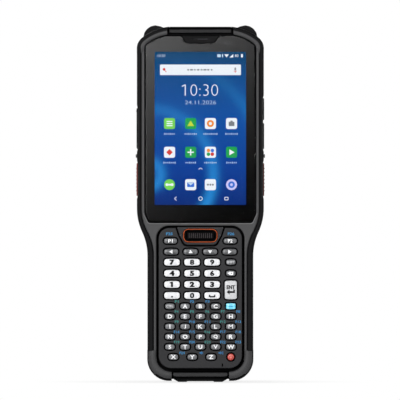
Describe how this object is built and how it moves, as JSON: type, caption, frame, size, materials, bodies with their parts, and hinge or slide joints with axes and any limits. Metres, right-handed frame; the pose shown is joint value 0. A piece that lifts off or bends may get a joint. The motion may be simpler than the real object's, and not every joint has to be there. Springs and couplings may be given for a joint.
{
  "type": "portable barcode data terminal",
  "caption": "Hand-held data terminal with a touch screen over a numeric and letter keypad, scan keys, rubber side bumpers, a scan head behind the top and a removable battery.",
  "frame": {"origin": "on the ground under the middle of the case, as the terminal stands on its lower bar", "axes": "+Z to the top of the screen, the screen faces -Y, +X to the screen's right"},
  "size_m": [0.0734, 0.036, 0.2027],
  "materials": {
    "bar_plastic": "black moulded plastic",
    "battery_plastic": "matt moulded plastic",
    "bumper_rubber": "soft-touch rubber",
    "case_plastic": "fine matt moulded plastic",
    "circuit_board": "solder mask",
    "cover_glass": "clear glass, black border printed behind",
    "dark_key": "satin",
    "fascia_plastic": "fine matt moulded plastic",
    "function_key": "satin",
    "grey_key": "satin",
    "lens_glass": "polished window",
    "power_key": "satin",
    "ring_orange": "satin",
    "scan_key_rubber": "ribbed",
    "scan_window_red": "polished window",
    "screen": "lit display",
    "screw_steel": "blackened",
    "side_key_red": "satin",
    "silicone": "silicone",
    "socket_steel": "plated",
    "white_key": "satin"
  },
  "bodies": {
    "case": {"bottom_bar": "bar_plastic", "bumper_left": "bumper_rubber", "bumper_right": "bumper_rubber", "camera_window": "lens_glass", "cover_glass": "cover_glass", "display_panel": "screen", "front_housing": "case_plastic", "housing_screws": "screw_steel", "keypad_board": "circuit_board", "keypad_fascia": "fascia_plastic", "keypad_membrane": "silicone", "main_board": "circuit_board", "port_socket": "socket_steel", "rear_housing": "case_plastic", "receiver_grille": "bar_plastic", "scan_engine": "bar_plastic", "scan_head_cover": "case_plastic", "scan_key_pod": "fascia_plastic", "scan_key_ring": "ring_orange", "scan_window": "scan_window_red", "side_studs": "screw_steel", "speaker_grille": "bar_plastic", "top_bar": "bar_plastic"},
    "key_0": {"key_0": "white_key"},
    "key_1": {"key_1": "white_key"},
    "key_2": {"key_2": "white_key"},
    "key_3": {"key_3": "white_key"},
    "key_4": {"key_4": "white_key"},
    "key_5": {"key_5": "white_key"},
    "key_6": {"key_6": "white_key"},
    "key_7": {"key_7": "white_key"},
    "key_8": {"key_8": "white_key"},
    "key_9": {"key_9": "white_key"},
    "key_backspace": {"key_backspace": "dark_key"},
    "key_down": {"key_down": "dark_key"},
    "key_enter": {"key_enter": "white_key"},
    "key_function": {"key_function": "function_key"},
    "key_left": {"key_left": "dark_key"},
    "key_p1": {"key_p1": "dark_key"},
    "key_p2": {"key_p2": "dark_key"},
    "key_point": {"key_point": "white_key"},
    "key_power": {"key_power": "power_key"},
    "key_right": {"key_right": "dark_key"},
    "key_shift": {"key_shift": "dark_key"},
    "key_space": {"key_space": "white_key"},
    "key_up": {"key_up": "dark_key"},
    "letter_keys_row_1": {"letter_keys_row_1": "grey_key"},
    "letter_keys_row_2": {"letter_keys_row_2": "grey_key"},
    "letter_keys_row_3": {"letter_keys_row_3": "grey_key"},
    "letter_keys_row_4": {"letter_keys_row_4": "grey_key"},
    "letter_keys_row_5": {"letter_keys_row_5": "grey_key"},
    "letter_keys_row_6": {"letter_keys_row_6": "grey_key"},
    "scan_key": {"scan_key": "scan_key_rubber"},
    "side_scan_key_left": {"side_scan_key_left": "side_key_red"},
    "side_scan_key_right": {"side_scan_key_right": "side_key_red"},
    "volume_down_key": {"volume_down_key": "dark_key"},
    "volume_up_key": {"volume_up_key": "dark_key"},
    "port_cover": {"port_cover": "bumper_rubber"},
    "battery_latch": {"battery_latch": "bar_plastic"},
    "battery_pack": {"battery_pack": "battery_plastic"}
  },
  "joints": [
    {"name": "key_0_press", "type": "slide", "parent": "case", "child": "key_0", "axis": [0, 1, 0], "range_m": [0, 0.0007], "stiffness_N_per_m": 400},
    {"name": "key_1_press", "type": "slide", "parent": "case", "child": "key_1", "axis": [0, 1, 0], "range_m": [0, 0.0007], "stiffness_N_per_m": 400},
    {"name": "key_2_press", "type": "slide", "parent": "case", "child": "key_2", "axis": [0, 1, 0], "range_m": [0, 0.0007], "stiffness_N_per_m": 400},
    {"name": "key_3_press", "type": "slide", "parent": "case", "child": "key_3", "axis": [0, 1, 0], "range_m": [0, 0.0007], "stiffness_N_per_m": 400},
    {"name": "key_4_press", "type": "slide", "parent": "case", "child": "key_4", "axis": [0, 1, 0], "range_m": [0, 0.0007], "stiffness_N_per_m": 400},
    {"name": "key_5_press", "type": "slide", "parent": "case", "child": "key_5", "axis": [0, 1, 0], "range_m": [0, 0.0007], "stiffness_N_per_m": 400},
    {"name": "key_6_press", "type": "slide", "parent": "case", "child": "key_6", "axis": [0, 1, 0], "range_m": [0, 0.0007], "stiffness_N_per_m": 400},
    {"name": "key_7_press", "type": "slide", "parent": "case", "child": "key_7", "axis": [0, 1, 0], "range_m": [0, 0.0007], "stiffness_N_per_m": 400},
    {"name": "key_8_press", "type": "slide", "parent": "case", "child": "key_8", "axis": [0, 1, 0], "range_m": [0, 0.0007], "stiffness_N_per_m": 400},
    {"name": "key_9_press", "type": "slide", "parent": "case", "child": "key_9", "axis": [0, 1, 0], "range_m": [0, 0.0007], "stiffness_N_per_m": 400},
    {"name": "key_backspace_press", "type": "slide", "parent": "case", "child": "key_backspace", "axis": [0, 1, 0], "range_m": [0, 0.0007], "stiffness_N_per_m": 400},
    {"name": "key_down_press", "type": "slide", "parent": "case", "child": "key_down", "axis": [0, 1, 0], "range_m": [0, 0.0007], "stiffness_N_per_m": 400},
    {"name": "key_enter_press", "type": "slide", "parent": "case", "child": "key_enter", "axis": [0, 1, 0], "range_m": [0, 0.0007], "stiffness_N_per_m": 400},
    {"name": "key_function_press", "type": "slide", "parent": "case", "child": "key_function", "axis": [0, 1, 0], "range_m": [0, 0.0007], "stiffness_N_per_m": 400},
    {"name": "key_left_press", "type": "slide", "parent": "case", "child": "key_left", "axis": [0, 1, 0], "range_m": [0, 0.0007], "stiffness_N_per_m": 400},
    {"name": "key_p1_press", "type": "slide", "parent": "case", "child": "key_p1", "axis": [0, 1, 0], "range_m": [0, 0.0007], "stiffness_N_per_m": 400},
    {"name": "key_p2_press", "type": "slide", "parent": "case", "child": "key_p2", "axis": [0, 1, 0], "range_m": [0, 0.0007], "stiffness_N_per_m": 400},
    {"name": "key_point_press", "type": "slide", "parent": "case", "child": "key_point", "axis": [0, 1, 0], "range_m": [0, 0.0007], "stiffness_N_per_m": 400},
    {"name": "key_power_press", "type": "slide", "parent": "case", "child": "key_power", "axis": [0, 1, 0], "range_m": [0, 0.0007], "stiffness_N_per_m": 400},
    {"name": "key_right_press", "type": "slide", "parent": "case", "child": "key_right", "axis": [0, 1, 0], "range_m": [0, 0.0007], "stiffness_N_per_m": 400},
    {"name": "key_shift_press", "type": "slide", "parent": "case", "child": "key_shift", "axis": [0, 1, 0], "range_m": [0, 0.0007], "stiffness_N_per_m": 400},
    {"name": "key_space_press", "type": "slide", "parent": "case", "child": "key_space", "axis": [0, 1, 0], "range_m": [0, 0.0007], "stiffness_N_per_m": 400},
    {"name": "key_up_press", "type": "slide", "parent": "case", "child": "key_up", "axis": [0, 1, 0], "range_m": [0, 0.0007], "stiffness_N_per_m": 400},
    {"name": "letter_keys_row_1_press", "type": "slide", "parent": "case", "child": "letter_keys_row_1", "axis": [0, 1, 0], "range_m": [0, 0.0007], "stiffness_N_per_m": 400},
    {"name": "letter_keys_row_2_press", "type": "slide", "parent": "case", "child": "letter_keys_row_2", "axis": [0, 1, 0], "range_m": [0, 0.0007], "stiffness_N_per_m": 400},
    {"name": "letter_keys_row_3_press", "type": "slide", "parent": "case", "child": "letter_keys_row_3", "axis": [0, 1, 0], "range_m": [0, 0.0007], "stiffness_N_per_m": 400},
    {"name": "letter_keys_row_4_press", "type": "slide", "parent": "case", "child": "letter_keys_row_4", "axis": [0, 1, 0], "range_m": [0, 0.0007], "stiffness_N_per_m": 400},
    {"name": "letter_keys_row_5_press", "type": "slide", "parent": "case", "child": "letter_keys_row_5", "axis": [0, 1, 0], "range_m": [0, 0.0007], "stiffness_N_per_m": 400},
    {"name": "letter_keys_row_6_press", "type": "slide", "parent": "case", "child": "letter_keys_row_6", "axis": [0, 1, 0], "range_m": [0, 0.0007], "stiffness_N_per_m": 400},
    {"name": "scan_key_press", "type": "slide", "parent": "case", "child": "scan_key", "axis": [0, 1, 0], "range_m": [0, 0.001], "stiffness_N_per_m": 400},
    {"name": "side_scan_key_left_press", "type": "slide", "parent": "case", "child": "side_scan_key_left", "axis": [1, 0, 0], "range_m": [0, 0.0006], "stiffness_N_per_m": 400},
    {"name": "side_scan_key_right_press", "type": "slide", "parent": "case", "child": "side_scan_key_right", "axis": [-1, 0, 0], "range_m": [0, 0.0006], "stiffness_N_per_m": 400},
    {"name": "volume_down_key_press", "type": "slide", "parent": "case", "child": "volume_down_key", "axis": [-1, 0, 0], "range_m": [0, 0.0006], "stiffness_N_per_m": 400},
    {"name": "volume_up_key_press", "type": "slide", "parent": "case", "child": "volume_up_key", "axis": [-1, 0, 0], "range_m": [0, 0.0006], "stiffness_N_per_m": 400},
    {"name": "port_cover_hinge", "type": "hinge", "parent": "case", "child": "port_cover", "pos_m": [-0.0354, -0.007, 0.133], "axis": [0, -1, 0], "range_deg": [0, 90]},
    {"name": "battery_latch_slide", "type": "slide", "parent": "case", "child": "battery_latch", "axis": [0, 0, 1], "range_m": [0, 0.003], "stiffness_N_per_m": 400},
    {"name": "battery_pack_out", "type": "slide", "parent": "case", "child": "battery_pack", "axis": [0, 1, 0], "range_m": [0, 0.012]}
  ]
}
